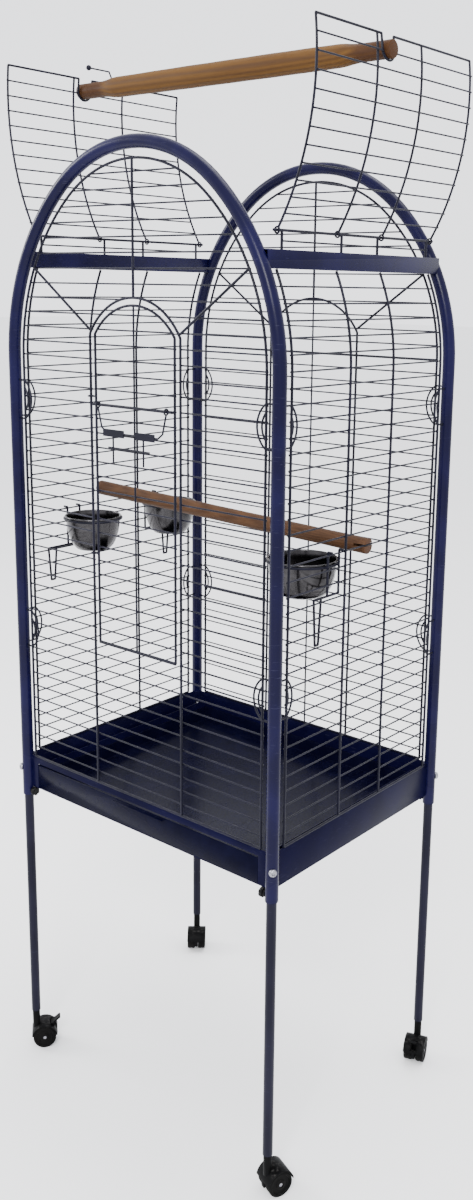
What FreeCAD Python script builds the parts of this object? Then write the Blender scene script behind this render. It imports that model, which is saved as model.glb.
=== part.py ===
import FreeCAD, Part
import math
import os

# Bird cage on a stand. Millimetres, +Z up, front face towards -Y.
# Origin: the middle of the stand on the floor.

# main sizes
POST_X = 222.0
POST_Y = 173.0
POST_R = 8.0
TUBE_WALL = 1.5
POST_BOTTOM = 400.0
FLANK_R = 270.0
FLANK_CX = 48.0
CROWN_R = 195.0
CROWN_Z = 1068.0
SPRING_Z = CROWN_Z - math.sqrt((FLANK_R - CROWN_R) ** 2 - FLANK_CX ** 2)
LEG_R = 6.35
LEG_BOTTOM = 56.0
LEG_TOP = 470.0

# base
SKIRT_LOW = 413.0
SKIRT_TOP = 459.0
SHEET = 1.2
TRAY_WALL = 2.0
TRAY_WALL_TOP = 437.0
TRAY_FRONT_TOP = 447.0
TRAY_HALF_X = 200.0
SCREW_Z = 406.5
BOLT_Z = 440.0

# side beams under the roof
BEAM_X = 197.0
BEAM_Z = 1133.0
BEAM_W = 10.0
BEAM_H = 20.0

# wires
BAR_R = 1.0
FRAME_R = 1.6
PITCH = 18.0
FIRST_BAR_Z = 474.5
INSET = 18.0
SIDE_EDGE_Y = 152.0
SIDE_RIB_Y = 44.0
RING_Z = (645.0, 956.0)
RING_R = 31.0
RING_INNER_R = 24.0
RING_WIRE_R = 1.2

# front doorway and door
DOOR_HALF = 67.0
DOORWAY_HALF = 76.0
DOOR_SPRING_Z = 1045.0
DOOR_RISE = 35.0
DOOR_BOTTOM_Z = 656.0
DOOR_EYE_Z = (771.5, 969.5)
BAIL_Z = 960.5

# hinged roof halves, drawn standing open
HINGE_X = 198.0
HINGE_Z = 1163.0
LID_LENGTH = 218.0
LID_START = 58.5
LID_END = 97.0
LID_EDGE_Y = 152.0
LID_RIB_Y = 44.0
LID_RIB_R = 1.4
EYE_R = 3.2
EYE_WIRE_R = 1.1
LATCH_Y = 28.0
LATCH_LEAN = 35.0
LATCH_EYE_R = 2.8

# perches
PERCH_R = 10.0
TOP_PERCH_BODY_R = 13.4
TOP_PERCH_Y = -24.0
TOP_PERCH_HALF = 252.0
SADDLE_R = 11.6

# bowls
BOWL_H = 46.0
BOWL_WALL = 0.9
HOOK_BAR_Z = 798.5
HOOK_SPREAD = 11.0

# castors
WHEEL_R = 16.5
WHEEL_W = 11.5
WHEEL_GAP = 0.8
TRAIL = 11.5
HOOD_R = 18.8
HOOD_HALF = 14.8
WEB_HALF = 2.5
AXLE_R = 2.2
STEM_R = 4.75
NECK_R = 5.3
BRAKE_HALF = 5.0

V = FreeCAD.Vector
AX_X = V(1, 0, 0)
AX_Y = V(0, 1, 0)
AX_Z = V(0, 0, 1)


def rod(start, end, radius):
    """A straight round wire between two points."""
    line = end - start
    return Part.makeCylinder(radius, line.Length, start, line)


def box(low, high):
    """A box between two corners."""
    size = high - low
    return Part.makeBox(size.x, size.y, size.z, low)


def arc_edge(centre, radius, start, end, to_point):
    """An arc edge; to_point turns (radius, angle in degrees) into a point about the centre."""
    mid = (start + end) / 2
    points = [to_point(centre, radius, angle) for angle in (start, mid, end)]
    return Part.Arc(*points).toShape()


def in_xz(centre, radius, angle):
    """A point on a circle that faces Y."""
    turn = math.radians(angle)
    return centre + V(radius * math.cos(turn), 0, radius * math.sin(turn))


def in_yz(centre, radius, angle):
    """A point on a circle that faces X."""
    turn = math.radians(angle)
    return centre + V(0, radius * math.cos(turn), radius * math.sin(turn))


def in_xy(centre, radius, angle):
    """A point on a circle that faces Z."""
    turn = math.radians(angle)
    return centre + V(radius * math.cos(turn), radius * math.sin(turn), 0)


def sweep(edges, radius):
    """A round solid along a chain of edges."""
    path = Part.Wire(edges)
    first = path.OrderedEdges[0]
    origin = first.valueAt(first.FirstParameter)
    along = first.tangentAt(first.FirstParameter)
    section = Part.Wire(Part.makeCircle(radius, origin, along))
    return path.makePipeShell([section], True, False)


def bent(edges, radius):
    """One closed solid of a bent wire."""
    shape = sweep(edges, radius)
    return shape if shape.ShapeType == "Solid" else Part.Solid(Part.Shell(shape.Faces))


def arc_wire(centre, arc_radius, start, end, wire_radius, to_point, count=1):
    """An arc of wire as a row of short solids that meet end to end."""
    step = (end - start) / count
    pieces = []
    for index in range(count):
        low = start + index * step
        pieces.append(bent([arc_edge(centre, arc_radius, low, low + step, to_point)], wire_radius))
    return pieces


def flip(shape):
    """The same shape on the other side of the X = 0 plane."""
    return shape.mirror(V(0, 0, 0), AX_X)


def flip_front(shape):
    """The same shape on the other side of the Y = 0 plane."""
    return shape.mirror(V(0, 0, 0), AX_Y)


def flip_all(shapes):
    """A list of shapes mirrored in X."""
    return [flip(shape) for shape in shapes]


def save(node, shapes):
    """Write one node; a list becomes a group of separate solids."""
    solids = shapes if isinstance(shapes, list) else [shapes]
    shape = solids[0] if len(solids) == 1 else Part.makeCompound(solids)
    shape.exportStep("parts/" + node + ".step")
    bad = [solid for solid in solids if not solid.isValid() or solid.Volume <= 0]
    print(node, len(solids), "solids", round(shape.Volume / 1000, 2), "cm3", "BAD" if bad else "ok")


def flank_x(height, inset=0.0):
    """Half width of the arch at a height on its flanks."""
    radius = FLANK_R - inset
    return math.sqrt(radius ** 2 - max(0.0, height - SPRING_Z) ** 2) - FLANK_CX


def crown_angle():
    """The angle at which the flank arc turns into the crown arc."""
    return math.degrees(math.atan2(CROWN_Z - SPRING_Z, FLANK_CX))


def arch_half_width(height, inset=0.0):
    """Half width of the arch at any height, 0 above its top."""
    if height <= SPRING_Z:
        return POST_X - inset
    radius = FLANK_R - inset
    join = SPRING_Z + radius * math.sin(math.radians(crown_angle()))
    if height <= join:
        return flank_x(height, inset)
    crown = CROWN_R - inset
    rise = height - CROWN_Z
    return math.sqrt(crown ** 2 - rise ** 2) if rise < crown else 0.0


def arch_edges(face_y, bottom, inset=0.0):
    """The centre line up one post, over the arch and down the other."""
    turn = crown_angle()
    right = V(-FLANK_CX, face_y, SPRING_Z)
    left = V(FLANK_CX, face_y, SPRING_Z)
    top = V(0, face_y, CROWN_Z)
    reach = POST_X - inset
    flank = FLANK_R - inset
    return [
        Part.LineSegment(V(-reach, face_y, bottom), V(-reach, face_y, SPRING_Z)).toShape(),
        arc_edge(left, flank, 180, 180 - turn, in_xz),
        arc_edge(top, CROWN_R - inset, 180 - turn, turn, in_xz),
        arc_edge(right, flank, turn, 0, in_xz),
        Part.LineSegment(V(reach, face_y, SPRING_Z), V(reach, face_y, bottom)).toShape(),
    ]


def bar_heights(low, high):
    """Heights of the horizontal bars between two limits."""
    count = int((high - FIRST_BAR_Z) // PITCH) + 1
    heights = [FIRST_BAR_Z + PITCH * index for index in range(count)]
    return [height for height in heights if low <= height <= high]


def doorway_half(height, half):
    """Half width of the round-topped doorway at a height."""
    if height <= DOOR_SPRING_Z:
        return half
    rise = DOOR_RISE + half - DOOR_HALF
    radius = (half ** 2 + rise ** 2) / (2 * rise)
    above = height - (DOOR_SPRING_Z + rise - radius)
    return math.sqrt(radius ** 2 - above ** 2) if above < radius else 0.0


def doorway_top(half):
    """Radius, centre height and half angle of the doorway's top arc."""
    rise = DOOR_RISE + half - DOOR_HALF
    radius = (half ** 2 + rise ** 2) / (2 * rise)
    centre_z = DOOR_SPRING_Z + rise - radius
    return radius, centre_z, math.degrees(math.asin(half / radius))


def doorway_wires(face_y, half, bottom, radius):
    """Two uprights and the arc over them."""
    arc_r, centre_z, spread = doorway_top(half)
    centre = V(0, face_y, centre_z)
    wires = arc_wire(centre, arc_r, 90 - spread, 90 + spread, radius, in_xz, 3)
    for side in (-1, 1):
        wires.append(rod(V(side * half, face_y, bottom), V(side * half, face_y, DOOR_SPRING_Z), radius))
    return wires


def end_ring_wires(face_y):
    """The round wires beside both posts of the front or back panel."""
    wires = []
    reach = POST_X - INSET
    for ring_z in RING_Z:
        centre = V(POST_X, face_y, ring_z)
        for radius in (RING_R, RING_INNER_R):
            half = math.degrees(math.acos(INSET / radius))
            wires += arc_wire(centre, radius, 180 - half, 180 + half, RING_WIRE_R, in_xz)
        for rise in (-25.0, 25.0):
            start = V(reach, face_y, ring_z + rise)
            wires.append(rod(start, V(POST_X - POST_R + 0.02, face_y, ring_z + rise), RING_WIRE_R))
    return wires + flip_all(wires)


def end_frame_wires(face_y):
    """The wire that follows the posts and the arch, just inside them."""
    turn = crown_angle()
    reach = POST_X - INSET
    low = SKIRT_TOP + FRAME_R
    wires = []
    wires.append(rod(V(-reach, face_y, low), V(reach, face_y, low), FRAME_R))
    for side in (-1, 1):
        wires.append(rod(V(side * reach, face_y, low), V(side * reach, face_y, SPRING_Z), FRAME_R))
    flank = arc_wire(V(-FLANK_CX, face_y, SPRING_Z), FLANK_R - INSET, 0, turn, FRAME_R, in_xz, 2)
    wires += flank + flip_all(flank)
    wires += arc_wire(V(0, face_y, CROWN_Z), CROWN_R - INSET, turn, 180 - turn, FRAME_R, in_xz, 4)
    return wires


def end_panel(face_y, open_doorway):
    """The welded wire panel that fills one end arch."""
    wires = end_frame_wires(face_y) + end_ring_wires(face_y)
    bar_y = face_y * (1 - (FRAME_R + BAR_R - 0.3) / POST_Y)
    top = CROWN_Z + CROWN_R - INSET
    for height in bar_heights(SKIRT_TOP + 6, top - 6):
        outer = arch_half_width(height, INSET)
        inner = doorway_half(height, DOORWAY_HALF) if open_doorway and height > DOOR_BOTTOM_Z - 5 else 0.0
        if inner > 0:
            for side in (-1, 1):
                wires.append(rod(V(side * inner, bar_y, height), V(side * outer, bar_y, height), BAR_R))
        else:
            wires.append(rod(V(-outer, bar_y, height), V(outer, bar_y, height), BAR_R))
    wires += doorway_wires(face_y, DOORWAY_HALF, SKIRT_TOP + FRAME_R, FRAME_R)
    arc_r, centre_z, _ = doorway_top(DOORWAY_HALF)
    wires.append(rod(V(0, face_y, centre_z + arc_r), V(0, face_y, top), FRAME_R))
    brace_z = 1122.5
    brace = rod(V(arch_half_width(brace_z, INSET), face_y, brace_z), V(DOORWAY_HALF, face_y, 1050.0), FRAME_R)
    wires += [brace, flip(brace)]
    if not open_doorway:
        wires.append(rod(V(0, face_y, SKIRT_TOP + FRAME_R), V(0, face_y, centre_z + arc_r), BAR_R + 0.2))
        wires.append(rod(V(-POST_X + INSET, face_y, 1014.0), V(POST_X - INSET, face_y, 1014.0), FRAME_R))
    return wires


def side_rib(rib_y, radius):
    """An upright of the right side panel, straight and then curved in to the beam."""
    top = BEAM_Z - BEAM_H / 2 - 0.75
    end = math.degrees(math.asin((top - SPRING_Z) / FLANK_R))
    low = SKIRT_TOP + FRAME_R
    straight = rod(V(POST_X, rib_y, low), V(POST_X, rib_y, SPRING_Z), radius)
    return [straight] + arc_wire(V(-FLANK_CX, rib_y, SPRING_Z), FLANK_R, 0, end, radius, in_xz)


def side_panel():
    """The welded wire panel of the right side."""
    wires = []
    low = SKIRT_TOP + FRAME_R
    wires.append(rod(V(POST_X, -SIDE_EDGE_Y, low), V(POST_X, SIDE_EDGE_Y, low), FRAME_R))
    for rib_y in (-SIDE_EDGE_Y, -SIDE_RIB_Y, SIDE_RIB_Y, SIDE_EDGE_Y):
        wires += side_rib(rib_y, FRAME_R)
    for height in bar_heights(SKIRT_TOP + 6, BEAM_Z - BEAM_H / 2 - 4):
        bar_x = flank_x(height) - (FRAME_R + BAR_R - 0.3)
        wires.append(rod(V(bar_x, -SIDE_EDGE_Y, height), V(bar_x, SIDE_EDGE_Y, height), BAR_R))
    gap = POST_Y - SIDE_EDGE_Y
    for ring_z in RING_Z:
        for side in (-1, 1):
            centre = V(POST_X, side * POST_Y, ring_z)
            facing = 180 if side > 0 else 0
            for radius in (RING_R, RING_INNER_R):
                half = math.degrees(math.acos(gap / radius))
                wires += arc_wire(centre, radius, facing - half, facing + half, RING_WIRE_R, in_yz)
            for rise in (-23.0, 23.0):
                start = V(POST_X, side * SIDE_EDGE_Y, ring_z + rise)
                end = V(POST_X, side * (POST_Y - POST_R + 0.02), ring_z + rise)
                wires.append(rod(start, end, RING_WIRE_R))
    return wires


def corner_out(side_x, side_y):
    """The level direction that points out of a corner, half way between its two walls."""
    return V(side_x, side_y, 0).normalize()


def arch_tube(face_y):
    """One bent tube: two posts and the arch that joins them, drilled for its screws and bolts."""
    outer = bent(arch_edges(face_y, POST_BOTTOM), POST_R)
    inner = bent(arch_edges(face_y, POST_BOTTOM - 1), POST_R - TUBE_WALL)
    tube = outer.cut(inner)
    way = 1 if face_y > 0 else -1
    for side in (-1, 1):
        tube = tube.cut(rod(V(side * POST_X, face_y, SCREW_Z), V(side * (POST_X - 12), face_y, SCREW_Z), 2.1))
        axis = V(side * POST_X, face_y, BOLT_Z)
        out = corner_out(side, way)
        tube = tube.cut(rod(axis + out * 12, axis - out * 12, 2.1))
    return tube


def leg(side_x, side_y):
    """One leg tube, plugged into the bottom of its post."""
    x = side_x * POST_X
    y = side_y * POST_Y
    tube = Part.makeCylinder(LEG_R, LEG_TOP - LEG_BOTTOM, V(x, y, LEG_BOTTOM))
    tube = tube.cut(Part.makeCylinder(LEG_R - TUBE_WALL, LEG_TOP - LEG_BOTTOM, V(x, y, LEG_BOTTOM)))
    tube = tube.cut(rod(V(x, y, SCREW_Z), V(x - side_x * 12, y, SCREW_Z), 2.1))
    axis = V(x, y, BOLT_Z)
    out = corner_out(side_x, side_y)
    return tube.cut(rod(axis + out * 12, axis - out * 12, 2.1))


def thumb_screw(side_x, side_y):
    """The screw with a round knob that clamps a leg in its post."""
    x = side_x * POST_X
    y = side_y * POST_Y
    shank = rod(V(x - side_x * 2, y, SCREW_Z), V(x - side_x * 12, y, SCREW_Z), 2.0)
    collar = rod(V(x - side_x * 8.2, y, SCREW_Z), V(x - side_x * 11, y, SCREW_Z), 4.0)
    knob = rod(V(x - side_x * 11, y, SCREW_Z), V(x - side_x * 17, y, SCREW_Z), 6.0)
    knob = knob.makeChamfer(0.8, [edge for edge in knob.Edges if edge.Length > 20])
    return shank.fuse(collar).fuse(knob)


def skirt_bolt(side_x, side_y):
    """The round-headed bolt through a post, its leg and the base."""
    axis = V(side_x * POST_X, side_y * POST_Y, BOLT_Z)
    out = corner_out(side_x, side_y)
    shank = rod(axis + out * 8.6, axis - out * 14.5, 2.0)
    head = Part.makeSphere(5.0, axis + out * 7.0)
    return shank.fuse(head.common(rod(axis + out * 8.2, axis + out * 14.0, 6.0)))


def cap_nut(side_x, side_y):
    """The domed nut on the inner end of a bolt."""
    axis = V(side_x * POST_X, side_y * POST_Y, BOLT_Z)
    out = corner_out(side_x, side_y)
    body = rod(axis - out * 10.0, axis - out * 14.0, 3.9)
    nut = body.fuse(Part.makeSphere(3.9, axis - out * 14.0))
    return nut.cut(rod(axis - out * 9.0, axis - out * 16.0, 2.05))


def base_skirt():
    """The sheet-steel base: four walls, corner sleeves round the posts and a ledge for the tray."""
    outer = box(V(-POST_X, -POST_Y, SKIRT_LOW), V(POST_X, POST_Y, SKIRT_TOP))
    inner_x = POST_X - SHEET
    inner_y = POST_Y - SHEET
    skirt = outer.cut(box(V(-inner_x, -inner_y, SKIRT_LOW - 1), V(inner_x, inner_y, SKIRT_TOP + 1)))
    ledge = box(V(-inner_x, -inner_y, SKIRT_LOW), V(inner_x, inner_y, SKIRT_LOW + SHEET))
    ledge = ledge.cut(box(V(-inner_x + 28, -inner_y - 1, SKIRT_LOW - 1), V(inner_x - 28, inner_y - 28, SKIRT_TOP)))
    guides = []
    for side in (-1, 1):
        face = side * (TRAY_HALF_X + 0.5)
        low = min(face, face + side * SHEET)
        guides.append(box(V(low, -POST_Y + SHEET, SKIRT_LOW), V(low + SHEET, inner_y, TRAY_FRONT_TOP)))
    skirt = skirt.fuse(ledge).fuse(guides[0]).fuse(guides[1])
    for side_x in (-1, 1):
        for side_y in (-1, 1):
            axis = V(side_x * POST_X, side_y * POST_Y, SKIRT_LOW)
            sleeve = Part.makeCylinder(POST_R + 2.0, SKIRT_TOP - SKIRT_LOW, axis)
            quarter = box(V(0, 0, SKIRT_LOW), V(POST_X, POST_Y, SKIRT_TOP))
            quarter = quarter if side_x > 0 else flip(quarter)
            quarter = quarter if side_y > 0 else flip_front(quarter)
            skirt = skirt.fuse(sleeve.common(quarter))
            skirt = skirt.cut(Part.makeCylinder(POST_R + 0.05, 60, axis - V(0, 0, 5)))
            start = V(side_x * POST_X, side_y * POST_Y, BOLT_Z)
            skirt = skirt.cut(rod(start, start - corner_out(side_x, side_y) * 16, 2.1))
    mouth = box(V(-TRAY_HALF_X - 0.4, -POST_Y - 5, SKIRT_LOW + SHEET), V(TRAY_HALF_X + 0.4, -POST_Y + 10, 450.0))
    return skirt.cut(mouth).removeSplitter()


def tray():
    """The droppings tray with its front plate and finger lip."""
    half = TRAY_HALF_X
    low = SKIRT_LOW + SHEET + 0.1
    front = -POST_Y
    back = POST_Y - SHEET - 2.0
    wall = TRAY_WALL
    pan = box(V(-half, front, low), V(half, back, TRAY_WALL_TOP))
    pan = pan.cut(box(V(-half + wall, front + wall, low + wall), V(half - wall, back - wall, TRAY_WALL_TOP + 1)))
    plate = box(V(-half, front, low), V(half, front + wall, TRAY_FRONT_TOP))
    lip = box(V(-45, front - 5.0, TRAY_FRONT_TOP - 3.0), V(45, front + 0.5, TRAY_FRONT_TOP - 1.5))
    return pan.fuse(plate).fuse(lip).removeSplitter()


def side_beam(arches):
    """The hollow beam between the two arches on the right side."""
    reach = POST_Y - 2.0
    low = V(BEAM_X - BEAM_W / 2, -reach, BEAM_Z - BEAM_H / 2)
    high = V(BEAM_X + BEAM_W / 2, reach, BEAM_Z + BEAM_H / 2)
    wall = V(SHEET, 1, SHEET)
    beam = box(low, high).cut(box(low + V(SHEET, -1, SHEET), high + V(-SHEET, 1, -SHEET)))
    for solid in arches:
        beam = beam.cut(solid)
    pieces = sorted(beam.Solids, key=lambda solid: solid.Volume)
    return pieces[-1]


def roof_hinge():
    """The fixed rail on the right beam that the right roof half turns on."""
    wires = [rod(V(HINGE_X, -SIDE_EDGE_Y - 6, HINGE_Z), V(HINGE_X, SIDE_EDGE_Y + 6, HINGE_Z), FRAME_R)]
    low = BEAM_Z + BEAM_H / 2
    for post_y in (-LID_EDGE_Y + 8, -LID_RIB_Y + 8, LID_RIB_Y - 8, LID_EDGE_Y - 8):
        wires.append(rod(V(HINGE_X, post_y, low), V(HINGE_X, post_y, HINGE_Z), FRAME_R))
    wires.append(rod(V(HINGE_X, -LID_EDGE_Y + 8, 1152.0), V(HINGE_X, LID_EDGE_Y - 8, 1152.0), BAR_R))
    return wires


def lid_radius():
    """Bend radius of a roof half's long wires."""
    return LID_LENGTH / math.radians(LID_END - LID_START)


def lid_point(distance):
    """The point of the right roof half's profile at a distance along it, and its direction."""
    radius = lid_radius()
    turn = math.radians(LID_START) + distance / radius
    first = math.radians(LID_START)
    centre = V(HINGE_X - radius * math.sin(first), 0, HINGE_Z + radius * math.cos(first))
    point = centre + V(radius * math.sin(turn), 0, -radius * math.cos(turn))
    return point, V(math.cos(turn), 0, math.sin(turn))


def roof_lid():
    """The right roof half: bent ribs with eyes on the rail, crossed by straight bars."""
    radius = lid_radius()
    centre, _ = lid_point(0)
    centre = centre + V(-radius * math.sin(math.radians(LID_START)), 0, radius * math.cos(math.radians(LID_START)))
    eye_turn = math.degrees(EYE_R / radius)
    wires = []
    for rib_y in (-LID_EDGE_Y, -LID_RIB_Y, LID_RIB_Y, LID_EDGE_Y):
        axis = centre + V(0, rib_y, 0)
        first = LID_START - 90 + eye_turn
        wires += arc_wire(axis, radius, first, LID_END - 90, LID_RIB_R, in_xz, 4)
        wires.append(Part.makeTorus(EYE_R, EYE_WIRE_R, V(HINGE_X, rib_y, HINGE_Z), AX_Y))
    saddle_low = TOP_PERCH_Y - SADDLE_R
    saddle_high = TOP_PERCH_Y + SADDLE_R
    for index in range(12):
        distance = LID_LENGTH - PITCH * index
        point, along = lid_point(distance)
        outward = V(along.z, 0, -along.x)
        place = point + outward * (0 if index == 0 else LID_RIB_R + BAR_R - 0.3)
        radius_here = LID_RIB_R if index == 0 else BAR_R
        if index > 1:
            wires.append(rod(place + V(0, -LID_EDGE_Y, 0), place + V(0, LID_EDGE_Y, 0), radius_here))
            continue
        wires.append(rod(place + V(0, -LID_EDGE_Y, 0), place + V(0, saddle_low, 0), radius_here))
        wires.append(rod(place + V(0, saddle_high, 0), place + V(0, LID_EDGE_Y, 0), radius_here))
    return wires + perch_saddle()


def perch_saddle():
    """The U bend in the top edge of the right roof half that carries the top perch."""
    top, along = lid_point(LID_LENGTH)
    drop = 15.0
    low = top - along * drop
    wires = []
    for side in (-1, 1):
        offset = V(0, TOP_PERCH_Y + side * SADDLE_R, 0)
        wires.append(rod(low + offset, top + offset, LID_RIB_R))
    centre = low + V(0, TOP_PERCH_Y, 0)
    points = []
    for angle in (180, 225, 270, 315, 360):
        turn = math.radians(angle)
        points.append(centre + AX_Y * (SADDLE_R * math.cos(turn)) + along * (SADDLE_R * math.sin(turn)))
    for index in (0, 2):
        edge = Part.Arc(points[index], points[index + 1], points[index + 2]).toShape()
        wires.append(bent([edge], LID_RIB_R))
    return wires


def perch_axis_z():
    """Height of the top perch's axis."""
    top, along = lid_point(LID_LENGTH)
    return (top - along * 15.0).z


def top_perch():
    """The turned wooden perch laid across the two open roof halves, thicker between its ends."""
    z = perch_axis_z()
    half = TOP_PERCH_HALF
    neck = half - 44.0
    shoulder = half - 72.0
    swell = [V(neck, PERCH_R, 0), V((neck + shoulder) / 2, PERCH_R + 1.7, 0), V(shoulder, TOP_PERCH_BODY_R - 0.6, 0)]
    body = [V(shoulder, TOP_PERCH_BODY_R - 0.6, 0), V(0, TOP_PERCH_BODY_R, 0), V(-shoulder, TOP_PERCH_BODY_R - 0.6, 0)]
    end = [V(half, 0, 0), V(half, PERCH_R - 1.0, 0), V(half - 1.0, PERCH_R, 0), V(neck, PERCH_R, 0)]
    outline = [Part.LineSegment(*pair).toShape() for pair in zip(end, end[1:])]
    outline.append(Part.Arc(*swell).toShape())
    outline.append(Part.Arc(*body).toShape())
    outline.append(Part.Arc(*[V(-point.x, point.y, 0) for point in reversed(swell)]).toShape())
    far = [V(-point.x, point.y, 0) for point in reversed(end)]
    outline += [Part.LineSegment(*pair).toShape() for pair in zip(far, far[1:])]
    outline.append(Part.LineSegment(far[-1], end[0]).toShape())
    dowel = Part.Face(Part.Wire(outline)).revolve(V(0, 0, 0), AX_X, 360)
    dowel.translate(V(0, TOP_PERCH_Y, z))
    return dowel


def inner_perch():
    """The round wooden perch between the side panels, slotted over one bar at each end."""
    left = V(-POST_X + 1.0, -30.0, 820.0)
    right = V(POST_X - 1.0, 5.0, 796.5)
    dowel = rod(left, right, PERCH_R)
    slots = [(left, 816.5, -1), (right, 798.5, 1)]
    for end, bar_z, side in slots:
        near = end.x - side * 9.0
        far = end.x + side * 4.0
        slot = box(V(min(near, far), end.y - 15, bar_z - 1.6), V(max(near, far), end.y + 15, bar_z + 1.6))
        dowel = dowel.cut(slot)
    return dowel


def roof_latch():
    """The wire hook that turns on the top bar of the left roof half."""
    top, along = lid_point(LID_LENGTH)
    base = V(-top.x, LATCH_Y, top.z)
    lean = math.atan2(along.z, -along.x) + math.radians(LATCH_LEAN)
    up = V(math.cos(lean), 0, math.sin(lean))
    corner = base + up * 21.0
    tip = V(corner.x, -9.0, corner.z)
    hook = Part.makeTorus(LATCH_EYE_R, 0.9, base, AX_Y)
    pieces = [
        rod(base + up * LATCH_EYE_R, corner, 1.1),
        Part.makeSphere(1.1, corner),
        rod(corner, tip, 1.1),
        Part.makeSphere(3.6, tip),
    ]
    for piece in pieces:
        hook = hook.fuse(piece)
    return hook


def front_door():
    """The round-topped wire door, closed, with eyes round the doorway's left upright."""
    y = -POST_Y
    wires = doorway_wires(y, DOOR_HALF, DOOR_BOTTOM_Z, FRAME_R)
    wires.append(rod(V(-DOOR_HALF, y, DOOR_BOTTOM_Z), V(DOOR_HALF, y, DOOR_BOTTOM_Z), 2.0))
    arc_r, centre_z, _ = doorway_top(DOOR_HALF)
    wires.append(rod(V(0, y, DOOR_BOTTOM_Z), V(0, y, centre_z + arc_r), BAR_R + 0.2))
    bar_y = y + FRAME_R + BAR_R - 0.3
    for height in bar_heights(DOOR_BOTTOM_Z + 6, centre_z + arc_r - 6):
        half = doorway_half(height, DOOR_HALF)
        wires.append(rod(V(-half, bar_y, height), V(half, bar_y, height), BAR_R))
    for eye_z in DOOR_EYE_Z:
        centre = V(-DOORWAY_HALF, y, eye_z)
        wires.append(Part.makeTorus(EYE_R, EYE_WIRE_R, centre, AX_Z))
        wires.append(rod(centre + V(EYE_R, 0, 0), V(-DOOR_HALF, y, eye_z), EYE_WIRE_R))
    return wires


def door_bail():
    """The drooping wire latch that hangs from a rod across the door."""
    y = -POST_Y - 5.2
    pivot = V(0, y, BAIL_Z)
    wires = []
    for side in (-1, 1):
        start = V(side * 58, y, BAIL_Z - 3.2)
        knee = V(side * 52, y, 934.0)
        foot = V(side * 44, y, 928.0)
        wires.append(Part.makeTorus(EYE_R, EYE_WIRE_R, V(side * 58, y, BAIL_Z), AX_X))
        wires.append(rod(start, knee, EYE_WIRE_R))
        wires.append(rod(knee, foot, EYE_WIRE_R))
        wires.append(Part.makeSphere(EYE_WIRE_R, knee))
    wires.append(rod(V(-44, y, 928), V(44, y, 928), EYE_WIRE_R))
    for low, high in ((-48, -12), (8, 40)):
        wires.append(box(V(low, y - 1.9, 923.5), V(high, y - 0.7, 932.5)))
    for leg_x in (-32, 20):
        wires.append(rod(V(leg_x, y, 928), V(leg_x, y, 892), EYE_WIRE_R))
    wires.append(rod(V(-40, y, 910), V(30, y, 910), EYE_WIRE_R))
    return wires


def bail_rod():
    """The fixed rod on the door that carries the bail, with its two stays."""
    y = -POST_Y - 5.2
    pieces = [rod(V(-67, y, BAIL_Z), V(67, y, BAIL_Z), 1.5)]
    for side in (-1, 1):
        pieces.append(rod(V(side * 67, y, BAIL_Z), V(side * 67, -POST_Y - FRAME_R + 0.2, BAIL_Z), 1.5))
    return pieces


def bowl_profile(radius, offset, top):
    """The closed outline of a bowl, turned round its axis to make a solid."""
    edge = radius - offset
    points = [
        V(radius * 0.6, 0, offset),
        V(radius - 7.5 - offset * 0.7, 0, 8.0 + offset * 0.7),
        V(radius - 2.0 - offset, 0, 24.0),
        V(edge, 0, top),
    ]
    curve = Part.BSplineCurve()
    curve.interpolate(points)
    outline = [
        Part.LineSegment(V(0, 0, offset), points[0]).toShape(),
        curve.toShape(),
        Part.LineSegment(V(edge, 0, top), V(0, 0, top)).toShape(),
        Part.LineSegment(V(0, 0, top), V(0, 0, offset)).toShape(),
    ]
    return Part.Face(Part.Wire(outline)).revolve(V(0, 0, 0), AX_Z, 360)


def bowl(centre_x, centre_y, radius, rim_z):
    """A spun steel bowl with a rolled rim."""
    shape = bowl_profile(radius, 0.0, BOWL_H - 1.0).cut(bowl_profile(radius, BOWL_WALL, BOWL_H))
    shape = shape.fuse(Part.makeTorus(radius + 0.4, 1.3, V(0, 0, BOWL_H - 1.3), AX_Z))
    shape.translate(V(centre_x, centre_y, rim_z - BOWL_H))
    return shape


def bowl_holder(centre_x, centre_y, radius, rim_z, pin_y, pin_z):
    """The wire ring under a bowl's rim, its two hooks on the side panel and its hairpin."""
    side = 1 if centre_x > 0 else -1
    ring_z = rim_z - 3.8
    ring_r = radius + 1.9
    wall = side * (POST_X - 2 * FRAME_R - 2.6)
    pieces = arc_wire(V(centre_x, centre_y, ring_z), ring_r, 0, 360, 1.5, in_xy, 8)
    hook_z = HOOK_BAR_Z
    for offset in (-HOOK_SPREAD, HOOK_SPREAD):
        start_x = centre_x + side * math.sqrt(ring_r ** 2 - offset ** 2)
        y = centre_y + offset
        pieces.append(rod(V(start_x, y, ring_z), V(wall, y, ring_z), 1.5))
        pieces.append(rod(V(wall, y, ring_z), V(wall, y, hook_z + 2.6), 1.5))
        pieces.append(rod(V(wall, y, hook_z + 2.6), V(side * (POST_X + 0.5), y, hook_z + 2.6), 1.5))
        pieces.append(rod(V(wall, y, ring_z), V(wall, y, 748.0), 1.5))
    tie_low = min(centre_y - HOOK_SPREAD, pin_y - 7.0)
    tie_high = max(centre_y + HOOK_SPREAD, pin_y + 7.0)
    pieces.append(rod(V(wall, tie_low, 748.0), V(wall, tie_high, 748.0), 1.5))
    for offset in (-7.0, 7.0):
        pieces.append(rod(V(wall, pin_y + offset, 748.0), V(wall, pin_y + offset * 0.45, pin_z), 1.5))
    pieces.append(rod(V(wall, pin_y - 3.15, pin_z), V(wall, pin_y + 3.15, pin_z), 1.5))
    return pieces


def turned(shape, side_x, side_y, heading):
    """Move a castor piece, drawn trailing towards +X at the origin, to its corner."""
    copy = shape.copy()
    copy.rotate(V(0, 0, 0), AX_Z, heading)
    copy.translate(V(side_x * POST_X, side_y * POST_Y, 0))
    return copy


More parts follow.
